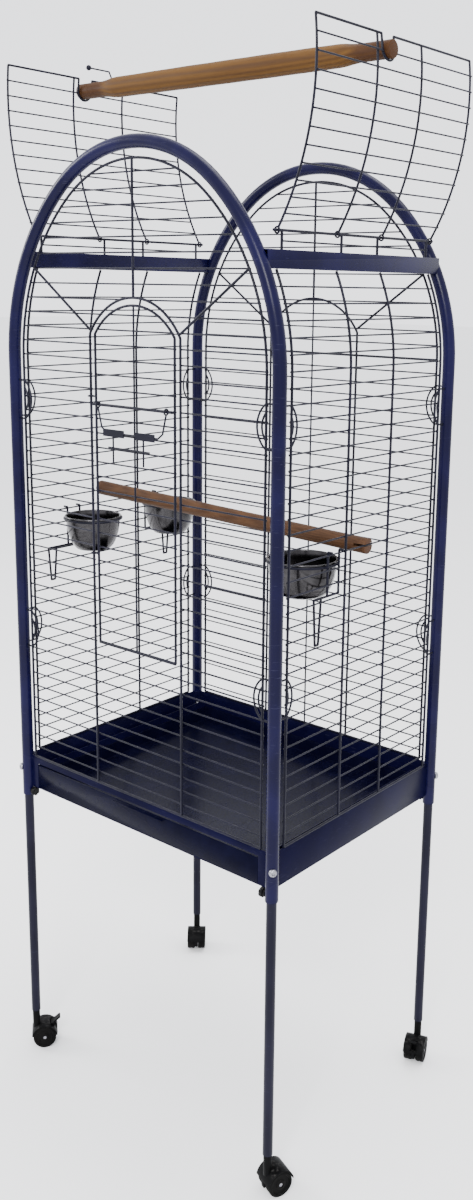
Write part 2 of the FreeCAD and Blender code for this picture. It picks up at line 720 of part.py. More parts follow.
def brake_pivot():
    """Where a brake tab's pin crosses the hood, with the castor drawn at the origin."""
    return V(TRAIL + 11.6, 0, WHEEL_R + 16.2)


def castor_hood(braked):
    """The body of a castor: stem, neck, hood over both wheels and the web between them."""
    hub = V(TRAIL, 0, WHEEL_R)
    hood = rod(hub - V(0, HOOD_HALF, 0), hub + V(0, HOOD_HALF, 0), HOOD_R)
    wheel_room = rod(hub - V(0, 30, 0), hub + V(0, 30, 0), WHEEL_R + WHEEL_GAP)
    hood = hood.cut(wheel_room)
    hood = hood.cut(box(V(TRAIL - 40, -30, -10), V(TRAIL + 40, 30, WHEEL_R + 3.3)))
    web = rod(hub - V(0, WEB_HALF, 0), hub + V(0, WEB_HALF, 0), HOOD_R - 0.2)
    web = web.cut(box(V(TRAIL - 40, -30, -10), V(TRAIL + 40, 30, WHEEL_R - 6.0)))
    neck = Part.makeCylinder(NECK_R, 27.6, V(0, 0, 27.0)).cut(wheel_room)
    stem = Part.makeCylinder(STEM_R, 34.0, V(0, 0, 52.0))
    body = hood.fuse(web).fuse(neck).fuse(stem)
    body = body.cut(rod(hub - V(0, 30, 0), hub + V(0, 30, 0), AXLE_R + 0.08))
    if not braked:
        return body.removeSplitter()
    pivot = brake_pivot()
    room = BRAKE_HALF + 0.3
    body = body.cut(box(pivot + V(-3.7, -room, -10), pivot + V(14, room, 9)))
    for side in (-1, 1):
        low = V(pivot.x - 2.6, min(side * room, side * (room + 2.6)), pivot.z - 5.5)
        ear = box(low, low + V(5.2, 2.6, 8.0))
        body = body.fuse(ear.cut(wheel_room))
    return body.cut(rod(pivot - V(0, 10, 0), pivot + V(0, 10, 0), 1.35)).removeSplitter()


def castor_brake():
    """The rocking brake tab of a castor, with its pivot pin."""
    pivot = brake_pivot()
    across = V(0, BRAKE_HALF, 0)
    barrel = rod(pivot - across, pivot + across, 2.2)
    tab = box(V(0, -BRAKE_HALF, -1.1), V(14, BRAKE_HALF, 1.2))
    tab.rotate(V(0, 0, 0), AX_Y, -40)
    tab.translate(pivot)
    pin = rod(pivot - across * 1.54, pivot + across * 1.54, 1.3)
    return barrel.fuse(tab).fuse(pin).removeSplitter()


def castor_wheels():
    """The pair of wheels, each with a dished outer face."""
    wheels = []
    for side in (-1, 1):
        inner = side * (WEB_HALF + 0.6)
        outer = inner + side * WHEEL_W
        wheel = rod(V(TRAIL, inner, WHEEL_R), V(TRAIL, outer, WHEEL_R), WHEEL_R)
        wheel = wheel.makeFillet(1.3, [edge for edge in wheel.Edges if edge.Length > 100 and edge.isClosed()])
        wheel = wheel.cut(rod(V(TRAIL, outer, WHEEL_R), V(TRAIL, outer - side * 1.5, WHEEL_R), 12.0))
        wheel = wheel.fuse(rod(V(TRAIL, outer - side * 2, WHEEL_R), V(TRAIL, outer, WHEEL_R), 4.4))
        wheel = wheel.cut(rod(V(TRAIL, inner - side, WHEEL_R), V(TRAIL, outer + side, WHEEL_R), AXLE_R))
        wheels.append(wheel)
    return wheels


def castor_axle():
    """The steel axle of a castor."""
    reach = WEB_HALF + 0.6 + WHEEL_W - 0.4
    return rod(V(TRAIL, -reach, WHEEL_R), V(TRAIL, reach, WHEEL_R), AXLE_R)


CORNERS = (
    ("front_left", -1, -1, 50.0, True),
    ("front_right", 1, -1, 70.0, False),
    ("back_left", -1, 1, 310.0, False),
    ("back_right", 1, 1, 290.0, True),
)
BOWLS = (
    ("left_front", -176.0, -85.0, 37.0, 794.0, -124.0, 703.0),
    ("left_back", -176.0, 64.0, 37.0, 794.0, 95.0, 703.0),
    ("right", 170.0, -60.0, 42.0, 786.0, -90.0, 692.0),
)


def main():
    """Build and write every node."""
    os.makedirs("parts", exist_ok=True)
    for name, face_y in (("front", -POST_Y), ("back", POST_Y)):
        save("arch_" + name, arch_tube(face_y))
    for name, side_x, side_y, heading, braked in CORNERS:
        save("leg_" + name, leg(side_x, side_y))
        save("castor_" + name + "_body", turned(castor_hood(braked), side_x, side_y, heading))
        if braked:
            save("castor_" + name + "_brake", turned(castor_brake(), side_x, side_y, heading))
        save("castor_" + name + "_wheels", [turned(w, side_x, side_y, heading) for w in castor_wheels()])
        save("castor_" + name + "_axle", turned(castor_axle(), side_x, side_y, heading))
    signs = [corner[1:3] for corner in CORNERS]
    save("leg_thumb_screws", [thumb_screw(*sign) for sign in signs])
    save("base_bolts", [skirt_bolt(*sign) for sign in signs])
    save("base_cap_nuts", [cap_nut(*sign) for sign in signs])
    save("base_skirt", base_skirt())
    save("tray", tray())
    solid_arches = [bent(arch_edges(y, POST_BOTTOM), POST_R + 0.02) for y in (-POST_Y, POST_Y)]
    beam = side_beam(solid_arches)
    save("side_beam_right", beam)
    save("side_beam_left", flip(beam))
    save("panel_front", end_panel(-POST_Y, True))
    save("panel_back", end_panel(POST_Y, False))
    save("panel_right", side_panel())
    save("panel_left", flip_all(side_panel()))
    save("roof_rail_right", roof_hinge())
    save("roof_rail_left", flip_all(roof_hinge()))
    save("roof_lid_right", roof_lid())
    save("roof_lid_left", flip_all(roof_lid()))
    save("roof_latch", roof_latch())
    save("top_perch", top_perch())
    save("inner_perch", inner_perch())
    save("front_door", front_door() + bail_rod())
    save("door_latch", door_bail())
    for name, x, y, radius, rim_z, pin_y, pin_z in BOWLS:
        save("bowl_" + name, bowl(x, y, radius, rim_z))
        save("bowl_holder_" + name, bowl_holder(x, y, radius, rim_z, pin_y, pin_z))


main()
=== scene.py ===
"""Bird cage on a wheeled stand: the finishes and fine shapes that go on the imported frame."""

import logging
import math
from collections.abc import Callable, Iterable, Sequence
from dataclasses import dataclass, field
from enum import Enum
from typing import Any

import bpy
from mathutils import Matrix, Vector


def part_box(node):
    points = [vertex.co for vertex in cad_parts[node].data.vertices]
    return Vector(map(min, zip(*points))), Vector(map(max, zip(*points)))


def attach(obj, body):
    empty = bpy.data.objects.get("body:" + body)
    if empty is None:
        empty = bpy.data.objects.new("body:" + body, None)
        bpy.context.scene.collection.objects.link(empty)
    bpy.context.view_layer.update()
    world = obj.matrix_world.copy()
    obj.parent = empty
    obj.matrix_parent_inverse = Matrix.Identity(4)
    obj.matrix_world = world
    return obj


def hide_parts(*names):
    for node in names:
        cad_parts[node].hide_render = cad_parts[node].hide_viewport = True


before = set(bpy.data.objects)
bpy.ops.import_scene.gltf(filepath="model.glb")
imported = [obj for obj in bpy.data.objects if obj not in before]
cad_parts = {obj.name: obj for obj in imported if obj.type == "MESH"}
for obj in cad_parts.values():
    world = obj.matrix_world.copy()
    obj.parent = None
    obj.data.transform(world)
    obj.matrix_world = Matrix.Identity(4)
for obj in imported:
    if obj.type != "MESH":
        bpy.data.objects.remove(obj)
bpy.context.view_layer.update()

LOG = logging.getLogger("bird_cage")

Colour = tuple[float, float, float, float]
Triple = tuple[float, float, float]
Profile = Sequence[tuple[float, float]]
MM = 0.001
POST_X = 0.222
POST_Y = 0.173


class Corner(Enum):
    """The four corners of the stand: side in X, side in Y, castor heading in degrees."""

    FRONT_LEFT = (-1, -1, 50.0)
    FRONT_RIGHT = (1, -1, 70.0)
    BACK_LEFT = (-1, 1, 310.0)
    BACK_RIGHT = (1, 1, 290.0)

    @property
    def label(self) -> str:
        """The corner's name as the bodies spell it."""
        return self.name.lower()

    @property
    def foot(self) -> Matrix:
        """The place of a castor drawn at the origin and trailing towards +X."""
        turn = Matrix.Rotation(math.radians(self.value[2]), 4, "Z")
        return self.post(0.0) @ turn

    def post(self, height: float) -> Matrix:
        """A point on the corner post's axis, at a height in metres."""
        side_x, side_y, _ = self.value
        return Matrix.Translation((side_x * POST_X, side_y * POST_Y, height))


class Axis(Enum):
    """Quarter turns that lay a shape, turned about Z, along another axis."""

    X = (math.pi / 2, "Y")
    MINUS_X = (-math.pi / 2, "Y")
    Y = (-math.pi / 2, "X")
    MINUS_Y = (math.pi / 2, "X")

    @property
    def matrix(self) -> Matrix:
        """The turn as a matrix."""
        angle, about = self.value
        return Matrix.Rotation(angle, 4, about)


# ---------------------------------------------------------------- shading


class Value:
    """A quantity that varies over a surface; arithmetic on it adds Math nodes."""

    def __init__(self, graph: "Graph", socket: bpy.types.NodeSocket) -> None:
        """Wrap one output socket of a graph."""
        self.graph = graph
        self.socket = socket

    def _math(self, operation: str, first: Any, second: Any = 0.0) -> "Value":
        """Add one Math node on two inputs."""
        return self.graph.node("ShaderNodeMath", {"operation": operation}, {0: first, 1: second})

    def __add__(self, other: "Value | float") -> "Value":
        """Sum."""
        return self._math("ADD", self, other)

    def __sub__(self, other: "Value | float") -> "Value":
        """Difference."""
        return self._math("SUBTRACT", self, other)

    def __rsub__(self, other: float) -> "Value":
        """Difference from a plain number."""
        return self._math("SUBTRACT", other, self)

    def __mul__(self, other: "Value | float") -> "Value":
        """Product."""
        return self._math("MULTIPLY", self, other)

    __radd__ = __add__
    __rmul__ = __mul__

    def size(self) -> "Value":
        """Absolute value."""
        return self._math("ABSOLUTE", self)

    def between(self, low: float, high: float) -> "Value":
        """A smooth step from 0 at low to 1 at high."""
        settings = {"interpolation_type": "SMOOTHSTEP"}
        sockets = {"Value": self, "From Min": low, "From Max": high}
        return self.graph.node("ShaderNodeMapRange", settings, sockets)


class Graph:
    """The nodes of one material."""

    def __init__(self, name: str) -> None:
        """Start an empty material."""
        self.material = bpy.data.materials.new(name)
        self.material.use_nodes = True
        self.tree = self.material.node_tree
        self.tree.nodes.clear()
        self.coordinates = self.node("ShaderNodeTexCoord", output="Object")

    def node(
        self,
        kind: str,
        settings: dict[str, Any] | None = None,
        sockets: dict[Any, Any] | None = None,
        output: int | str = 0,
    ) -> Value:
        """Add a node of any kind.

        Args:
            kind: Blender's name for the node's type.
            settings: its own settings, set first; "stops" are a ramp's (place, colour) pairs.
            sockets: a value or a link for each named or numbered input.
            output: which output to return.

        Returns:
            The chosen output.
        """
        made = self.tree.nodes.new(kind)
        for name, value in (settings or {}).items():
            if name == "stops":
                self._set_stops(made.color_ramp, value)
            else:
                setattr(made, name, value)
        for key, value in (sockets or {}).items():
            if isinstance(value, Value):
                self.tree.links.new(value.socket, made.inputs[key])
            else:
                made.inputs[key].default_value = value
        return Value(self, made.outputs[output])

    @staticmethod
    def _set_stops(ramp: bpy.types.ColorRamp, stops: Sequence[tuple[float, Colour]]) -> None:
        """Give a colour ramp its stops.

        Args:
            ramp: the ramp of a Color Ramp node.
            stops: places from 0 to 1, each with its colour.
        """
        while len(ramp.elements) < len(stops):
            ramp.elements.new(0.5)
        for element, (place, colour) in zip(ramp.elements, stops):
            element.position = place
            element.color = colour

    def stretched(self, scale: Triple, centre: Triple = (0, 0, 0), turn: Triple = (0, 0, 0)) -> Value:
        """Object coordinates, stretched and turned about a centre.

        Args:
            scale: the pattern's repeats in each direction.
            centre: the point that becomes the pattern's origin, in metres.
            turn: rotation of the pattern in radians.

        Returns:
            The mapped coordinates.
        """
        moved = self.node(
            "ShaderNodeVectorMath", {"operation": "SUBTRACT"}, {0: self.coordinates, 1: centre}
        )
        return self.node("ShaderNodeMapping", None, {"Vector": moved, "Rotation": turn, "Scale": scale})

    def noise(self, place: Value, scale: float, detail: float = 2.0) -> Value:
        """Soft noise around 0.5.

        Args:
            place: the coordinates that it follows.
            scale: its repeats per unit.
            detail: its octaves.

        Returns:
            The noise's factor.
        """
        sockets = {"Vector": place, "Scale": scale, "Detail": detail}
        return self.node("ShaderNodeTexNoise", None, sockets)

    def specks(self, scale: float, low: float, high: float) -> Value:
        """Sparse patches where a noise is high.

        Args:
            scale: patches per metre.
            low: noise level where a patch begins.
            high: noise level where it is full.

        Returns:
            A mask from 0 to 1.
        """
        return self.noise(self.coordinates, scale, 3.0).between(low, high)

    def facing_up(self) -> Value:
        """A mask that is 1 where the surface faces up, where dust settles."""
        normal = self.node("ShaderNodeTexCoord", output="Normal")
        height = self.node("ShaderNodeSeparateXYZ", None, {0: normal}, output=2)
        return height.between(0.55, 0.98)

    def mix(self, amount: Value, first: Any, second: Any) -> Value:
        """Blend two colours.

        Args:
            amount: 0 for the first colour, 1 for the second.
            first: a colour or a colour link.
            second: a colour or a colour link.

        Returns:
            The blended colour.
        """
        return self.node("ShaderNodeMix", {"data_type": "RGBA"}, {0: amount, 6: first, 7: second}, 2)

    def bump(self, height: Value, depth: float, under: Value | None = None) -> Value:
        """Turn a height into a normal.

        Args:
            height: the height, from 0 to 1.
            depth: how deep 1 is, in metres.
            under: a normal that this relief lies on.

        Returns:
            The bumped normal.
        """
        sockets: dict[str, Any] = {"Height": height, "Distance": depth, "Strength": 1.0}
        if under is not None:
            sockets["Normal"] = under
        return self.node("ShaderNodeBump", None, sockets)

    def close(self, sockets: dict[str, Any]) -> bpy.types.Material:
        """Finish the material.

        Args:
            sockets: the Principled shader's inputs.

        Returns:
            The material.
        """
        shader = self.node("ShaderNodeBsdfPrincipled", None, sockets)
        output = self.tree.nodes.new("ShaderNodeOutputMaterial")
        self.tree.links.new(shader.socket, output.inputs["Surface"])
        return self.material


@dataclass(frozen=True)
class PowderCoat:
    """Baked powder coating on steel: slightly pebbled, glossy, a little dusty on top."""

    name: str
    colour: Colour
    cloud: Colour
    roughness: float = 0.26
    pebble: float = 0.00003
    shine: float = 0.3
    dust: float = 0.10

    def material(self) -> bpy.types.Material:
        """Build the material."""
        graph = Graph(self.name)
        drift = graph.noise(graph.coordinates, 14.0, 3.0)
        colour = graph.mix(drift.between(0.35, 0.7), self.colour, self.cloud)
        scuffs = graph.noise(graph.stretched((60, 60, 900)), 1.0, 3.0).between(0.66, 0.74)
        colour = graph.mix(scuffs * 0.25, colour, (0.05, 0.05, 0.09, 1.0))
        dust = graph.facing_up() * graph.specks(180.0, 0.45, 0.75)
        colour = graph.mix(dust * self.dust, colour, (0.20, 0.20, 0.20, 1.0))
        pebbles = graph.noise(graph.coordinates, 1100.0, 2.0)
        sockets = {
            "Base Color": colour,
            "Roughness": self.roughness + drift * 0.10 + scuffs * 0.2 + dust * 0.2,
            "Normal": graph.bump(pebbles, self.pebble),
            "Specular IOR Level": self.shine,
        }
        return graph.close(sockets)


@dataclass(frozen=True)
class Timber:
    """A turned softwood rod, with grain along it and darker ends."""

    name: str
    pale: Colour
    grain: Colour
    ends: Colour
    end_from: float
    end_to: float
    turn: Triple = (0.0, 0.0, 0.0)
    centre: Triple = (0.0, 0.0, 0.0)

    def material(self) -> bpy.types.Material:
        """Build the material."""
        graph = Graph(self.name)
        along = graph.stretched((5, 150, 150), self.centre, self.turn)
        waver = graph.noise(along, 1.0, 3.0)
        figure = graph.node(
            "ShaderNodeTexWave",
            {"wave_type": "RINGS", "rings_direction": "X"},
            {"Vector": graph.stretched((4, 95, 95), self.centre, self.turn),
             "Scale": 1.0, "Distortion": 5.0, "Detail": 3.0, "Detail Scale": 0.6},
            output=1,
        )
        pores = graph.noise(graph.stretched((60, 1500, 1500), self.centre, self.turn), 1.0, 2.0)
        colour = graph.mix(figure * 0.6 + waver.between(0.4, 0.7) * 0.35, self.pale, self.grain)
        colour = graph.mix(pores.between(0.58, 0.72) * 0.5, colour, self.grain)
        # the rod's colour turns darker towards both of its ends
        reach = graph.node("ShaderNodeSeparateXYZ", None, {0: graph.coordinates}).size()
        darker_ends = (reach + waver * 0.012).between(self.end_from, self.end_to)
        colour = graph.mix(darker_ends * 0.75, colour, self.ends)
        knots = graph.specks(24.0, 0.68, 0.78)
        colour = graph.mix(knots * 0.5, colour, self.grain)
        normal = graph.bump(pores, 0.00012, graph.bump(figure, 0.00010))
        sockets = {
            "Base Color": colour,
            "Roughness": 0.62 - figure * 0.12 + pores * 0.1,
            "Normal": normal,
            "Specular IOR Level": 0.12,
        }
        return graph.close(sockets)


@dataclass(frozen=True)
class SpunSteel:
    """Polished stainless steel with the fine rings that spinning leaves; its colours are far darker than bare
    steel, a painted reflection of the dark room and cage around it.
    """

    name: str
    centre: Triple
    # painted reflection: the steel colour is darkened to stand for the dark surroundings that the bowl
    # mirrors
    colour: Colour = (0.048, 0.046, 0.048, 1.0)
    smudge: Colour = (0.020, 0.019, 0.020, 1.0)

    def material(self) -> bpy.types.Material:
        """Build the material."""
        graph = Graph(self.name)
        moved = graph.stretched((1, 1, 0), self.centre)
        radius = graph.node("ShaderNodeVectorMath", {"operation": "LENGTH"}, {0: moved}, output=1)
        height = graph.node("ShaderNodeSeparateXYZ", None, {0: graph.coordinates}, output=2)
        ring = graph.node("ShaderNodeCombineXYZ", None, {0: radius, 1: height})
        lines = graph.noise(ring, 2600.0, 3.0)
        smears = graph.noise(graph.coordinates, 55.0, 4.0)
        water = graph.specks(150.0, 0.64, 0.70)
        colour = graph.mix(smears.between(0.4, 0.75), self.colour, self.smudge)
        sockets = {
            "Base Color": colour,
            "Metallic": 1.0,
            "Roughness": 0.10 + smears * 0.16 + water * 0.12,
            "Normal": graph.bump(lines, 0.00001),
        }
        return graph.close(sockets)


@dataclass(frozen=True)
class Moulded:
    """Moulded plastic with a fine texture, rubbed spots and some dust."""

    name: str
    colour: Colour
    rubbed: Colour
    roughness: float = 0.42
    texture: float = 0.00004
    scratches: float = 0.3
    dust: float = 0.10
    shine: float = 0.4

    def material(self) -> bpy.types.Material:
        """Build the material."""
        graph = Graph(self.name)
        drift = graph.noise(graph.coordinates, 40.0, 3.0)
        lines = graph.noise(graph.stretched((420, 22, 160), turn=(0, 0, 0.5)), 1.0, 2.0)
        scratched = lines.between(0.62, 0.70) * drift.between(0.4, 0.6)
        dust = graph.facing_up() * graph.specks(260.0, 0.5, 0.72)
        colour = graph.mix(drift.between(0.35, 0.75), self.colour, self.rubbed)
        colour = graph.mix(dust * self.dust, colour, (0.22, 0.21, 0.20, 1.0))
        grain = graph.noise(graph.coordinates, 1700.0, 2.0)
        normal = graph.bump(grain, self.texture, graph.bump(scratched, 0.00002))
        sockets = {
            "Base Color": colour,
            "Roughness": self.roughness + drift * 0.12 + scratched * self.scratches + dust * self.dust,
            "Normal": normal,
            "Specular IOR Level": self.shine,
        }
        return graph.close(sockets)


@dataclass(frozen=True)
class ZincPlate:
    """Bright plated steel of screws, nuts and axles."""

    name: str
    colour: Colour = (0.30, 0.30, 0.32, 1.0)
    dull: Colour = (0.15, 0.15, 0.17, 1.0)

    def material(self) -> bpy.types.Material:
        """Build the material."""
        graph = Graph(self.name)
        cloud = graph.noise(graph.coordinates, 300.0, 3.0)
        lines = graph.noise(graph.stretched((900, 900, 2600)), 1.0, 2.0)
        sockets = {
            "Base Color": graph.mix(cloud.between(0.35, 0.7), self.colour, self.dull),
            "Metallic": 1.0,
            "Roughness": 0.24 + cloud * 0.2,
            "Normal": graph.bump(lines, 0.00002),
        }
        return graph.close(sockets)


class Finish(Enum):
    """The finishes of the cage, each built once."""

    TUBE = PowderCoat(
        "navy_tube_coat", (0.0022, 0.0018, 0.0150, 1.0), (0.0040, 0.0032, 0.0260, 1.0), 0.22, shine=0.10
    )
    LEG = PowderCoat(
        "leg_tube_coat", (0.0030, 0.0028, 0.0090, 1.0), (0.0055, 0.0050, 0.0140, 1.0), 0.30, shine=0.10
    )
    WIRE = PowderCoat(
        "wire_coat", (0.0025, 0.0025, 0.0070, 1.0), (0.0050, 0.0048, 0.0120, 1.0), 0.34, 0.00002, 0.12
    )
    SHEET = PowderCoat(
        "navy_sheet_coat", (0.0016, 0.0014, 0.0110, 1.0), (0.0026, 0.0022, 0.0170, 1.0),
        0.24, shine=0.03, dust=0.05,
    )
    TRAY = Moulded(
        "navy_tray_plastic", (0.0012, 0.0012, 0.0070, 1.0), (0.0020, 0.0020, 0.0105, 1.0),
        0.16, 0.000004, 0.10, 0.01, 0.02,
    )
    BLACK = Moulded(
        "castor_plastic", (0.0012, 0.0012, 0.0014, 1.0), (0.0026, 0.0026, 0.0028, 1.0), shine=0.05
    )
    WHEEL = Moulded(
        "wheel_plastic", (0.0014, 0.0014, 0.0014, 1.0), (0.0036, 0.0034, 0.0032, 1.0), 0.5, shine=0.05
    )
    KNOB = Moulded(
        "knob_plastic", (0.0014, 0.0014, 0.0018, 1.0), (0.0030, 0.0030, 0.0036, 1.0), 0.35, shine=0.08
    )
    ZINC = ZincPlate("zinc_plate")
    TOP_PERCH = Timber(
        "top_perch_wood", (0.080, 0.0365, 0.0070, 1.0), (0.036, 0.0145, 0.0030, 1.0),
        (0.026, 0.0085, 0.0028, 1.0), 0.198, 0.218, centre=(0.0, -0.021, 1.35),
    )
    INNER_PERCH = Timber(
        "inner_perch_wood", (0.062, 0.0290, 0.0125, 1.0), (0.031, 0.0130, 0.0056, 1.0),
        (0.032, 0.0125, 0.0058, 1.0), 0.16, 0.30, (0.0, -0.053, -0.079), (0.0, -0.010, 0.806),
    )

    @property
    def material(self) -> bpy.types.Material:
        """The finish's material, made on first use."""
        return bpy.data.materials.get(self.value.name) or self.value.material()


# ---------------------------------------------------------------- modelling


class Bench:
    """Modelling steps, each done with Blender's own operators."""

    @staticmethod
    def take(piece: bpy.types.Object) -> None:
        """Select one piece alone and make it active."""
        bpy.ops.object.select_all(action="DESELECT")
        piece.select_set(True)
        bpy.context.view_layer.objects.active = piece

    @staticmethod
    def turned(name: str, profile: Profile, sides: int) -> bpy.types.Object:
        """Raise a disc, ring by ring, into a shape turned about Z.

        Args:
            name: the piece's name.
            profile: (radius, height) of each ring, in millimetres; the first and last are capped.
            sides: faces round the shape.

        Returns:
            The piece, in edit mode no more, with its normals outward.
        """
        bpy.ops.object.select_all(action="DESELECT")
        radius, height = profile[0]
        bpy.ops.mesh.primitive_circle_add(
            vertices=sides, radius=radius * MM, fill_type="NGON", location=(0, 0, height * MM)
        )
        piece = bpy.context.object
        piece.name = name
        bpy.ops.object.mode_set(mode="EDIT")
        bpy.ops.mesh.select_all(action="SELECT")
        for (old_radius, old_height), (radius, height) in zip(profile, profile[1:]):
            lift = (0, 0, (height - old_height) * MM)
            bpy.ops.mesh.extrude_region_move(TRANSFORM_OT_translate={"value": lift})
            scale = radius / old_radius
            bpy.ops.transform.resize(value=(scale, scale, 1), center_override=(0, 0, height * MM))
        bpy.ops.mesh.select_all(action="SELECT")
        bpy.ops.mesh.normals_make_consistent(inside=False)
        bpy.ops.object.mode_set(mode="OBJECT")
        return piece

    @staticmethod
    def place(piece: bpy.types.Object, matrix: Matrix) -> bpy.types.Object:
        """Move a piece and put its place in its mesh.

        Args:
            piece: the piece.
            matrix: where it goes.

        Returns:
            The same piece, at the origin, unturned and unscaled.
        """
        Bench.take(piece)
        piece.matrix_world = matrix @ piece.matrix_world
        bpy.ops.object.transform_apply(location=True, rotation=True, scale=True)
        return piece

    @staticmethod
    def copy(piece: bpy.types.Object, name: str) -> bpy.types.Object:
        """Copy a piece with a mesh of its own.

        Args:
            piece: the master.
            name: the copy's name.

        Returns:
            The copy.
        """
        twin = piece.copy()
        twin.data = piece.data.copy()
        twin.name = name
        bpy.context.collection.objects.link(twin)
        return twin

    @staticmethod
    def join(name: str, pieces: Sequence[bpy.types.Object]) -> bpy.types.Object:
        """Join pieces into one.

        Args:
            name: the joined piece's name.
            pieces: what to join.

        Returns:
            The joined piece.
        """
        Bench.take(pieces[0])
        for piece in pieces[1:]:
            piece.select_set(True)
        if len(pieces) > 1:
            bpy.ops.object.join()
        joined = bpy.context.view_layer.objects.active
        joined.name = name
        return joined

    @staticmethod
    def remove(piece: bpy.types.Object) -> None:
        """Throw a master or a cutter away."""
        bpy.data.objects.remove(piece)

    @staticmethod
    def pick(piece: bpy.types.Object, test: Callable[[Vector], bool]) -> None:
        """Enter edit mode with the vertices that pass a test selected.

        Args:
            piece: the piece.
            test: says of a vertex's place whether it is picked.
        """
        Bench.take(piece)
        bpy.ops.object.mode_set(mode="EDIT")
        bpy.ops.mesh.select_mode(type="VERT")
        bpy.ops.mesh.select_all(action="DESELECT")
        bpy.ops.object.mode_set(mode="OBJECT")
        for vertex in piece.data.vertices:
            vertex.select = test(vertex.co)
        bpy.ops.object.mode_set(mode="EDIT")

    @staticmethod
    def round_edges(piece: bpy.types.Object, width: float, segments: int = 2, angle: float = 35.0) -> None:
        """Bevel a piece's sharp edges for good.

        Args:
            piece: the piece.
            width: the bevel's width in millimetres.
            segments: faces across the bevel.
            angle: the least angle of an edge that is bevelled, in degrees.
        """
        Bench.take(piece)
        bevel = piece.modifiers.new("edges", "BEVEL")
        bevel.width = width * MM
        bevel.segments = segments
        bevel.limit_method = "ANGLE"
        bevel.angle_limit = math.radians(angle)
        bpy.ops.object.modifier_apply(modifier=bevel.name)

    @staticmethod
    def smooth(piece: bpy.types.Object, angle: float = 35.0) -> None:
        """Shade a piece smoothly below an angle in degrees."""
        Bench.take(piece)
        bpy.ops.object.shade_smooth_by_angle(angle=math.radians(angle))

    @staticmethod
    def cut(piece: bpy.types.Object, cutter: bpy.types.Object) -> None:
        """Cut one shape out of another.

        Args:
            piece: what is cut.
            cutter: the shape taken away, then thrown away.
        """
        Bench.take(piece)
        saw = piece.modifiers.new("cut", "BOOLEAN")
        saw.operation = "DIFFERENCE"
        saw.object = cutter
        bpy.ops.object.modifier_apply(modifier=saw.name)
        Bench.remove(cutter)


def fit(
    piece: bpy.types.Object, finish: bpy.types.Material, body: str, nodes: Iterable[str] = ()
) -> None:
    """Dress a finished piece and fasten it to its body.

    Args:
        piece: the piece.
        finish: its material.
        body: the body that it moves with.
        nodes: the CAD nodes that it stands for.
    """
    piece.data.materials.clear()
    piece.data.materials.append(finish)
    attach(piece, body)
    if nodes:
        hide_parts(*nodes)
    LOG.info("%s: %d faces on %s", piece.name, len(piece.data.polygons), body)


# ---------------------------------------------------------------- the cage's parts


@dataclass
class CarriedOver:
    """The CAD nodes that keep their own shape and get a finish."""

    finishes: dict[str, Finish] = field(
        default_factory=lambda: {
            "arch_": Finish.TUBE,
            "side_beam_": Finish.TUBE,
            "leg_thumb": Finish.KNOB,
            "leg_": Finish.LEG,
            "base_skirt": Finish.SHEET,
            "base_": Finish.ZINC,
            "tray": Finish.TRAY,
            "panel_": Finish.WIRE,
            "roof_": Finish.WIRE,
            "front_door": Finish.WIRE,
            "door_latch": Finish.WIRE,
            "bowl_holder_": Finish.WIRE,
            "bowl_": Finish.ZINC,
            "top_perch": Finish.TOP_PERCH,
            "inner_perch": Finish.INNER_PERCH,
            "castor_": Finish.BLACK,
        }
    )

    def dress(self) -> None:
        """Give each CAD node the finish of its kind."""
        for name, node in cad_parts.items():
            kind = next(start for start in self.finishes if name.startswith(start))
            finish = self.finishes[kind]
            if name.endswith("_wheels"):
                finish = Finish.WHEEL
            if name.endswith("_axle"):
                finish = Finish.ZINC
            node.data.materials.clear()
            node.data.materials.append(finish.material)
        LOG.info("dressed %d nodes", len(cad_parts))


@dataclass(frozen=True)
class Eased:
    """A sheet or moulded part whose sharp edges are eased."""

    node: str
    body: str
    finish: Finish
    slot: str
    width: float

    def build(self) -> None:
        """Weld a copy of the part's mesh, clear its flat faces of seams and bevel it."""
        piece = bpy.data.objects.new(self.node + "_eased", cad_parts[self.node].data.copy())
        bpy.context.collection.objects.link(piece)
        Bench.take(piece)
        bpy.ops.object.mode_set(mode="EDIT")
        bpy.ops.mesh.select_all(action="SELECT")
        bpy.ops.mesh.remove_doubles(threshold=0.000002)
        bpy.ops.mesh.dissolve_limited(angle_limit=math.radians(0.5))
        bpy.ops.object.mode_set(mode="OBJECT")
        Bench.round_edges(piece, self.width)
        Bench.smooth(piece, 40.0)
        fit(piece, self.finish.material, self.body, [self.node])


@dataclass
class Sheetwork:
    """The base's sheet parts, the flat beams and the castors' hoods."""

    parts: list[Eased] = field(
        default_factory=lambda: [
            Eased("base_skirt", "cage", Finish.SHEET, "navy_sheet", 0.35),
            Eased("tray", "droppings_tray", Finish.TRAY, "navy_tray", 0.6),
            Eased("side_beam_left", "cage", Finish.TUBE, "navy_tube", 0.6),
            Eased("side_beam_right", "cage", Finish.TUBE, "navy_tube", 0.6),
        ]
        + [
            Eased(f"castor_{corner.label}_body", f"castor_{corner.label}", Finish.BLACK, "castor_black", 0.45)
            for corner in Corner
        ]
    )

    def build(self) -> None:
        """Ease each part."""
        for part in self.parts:
            part.build()


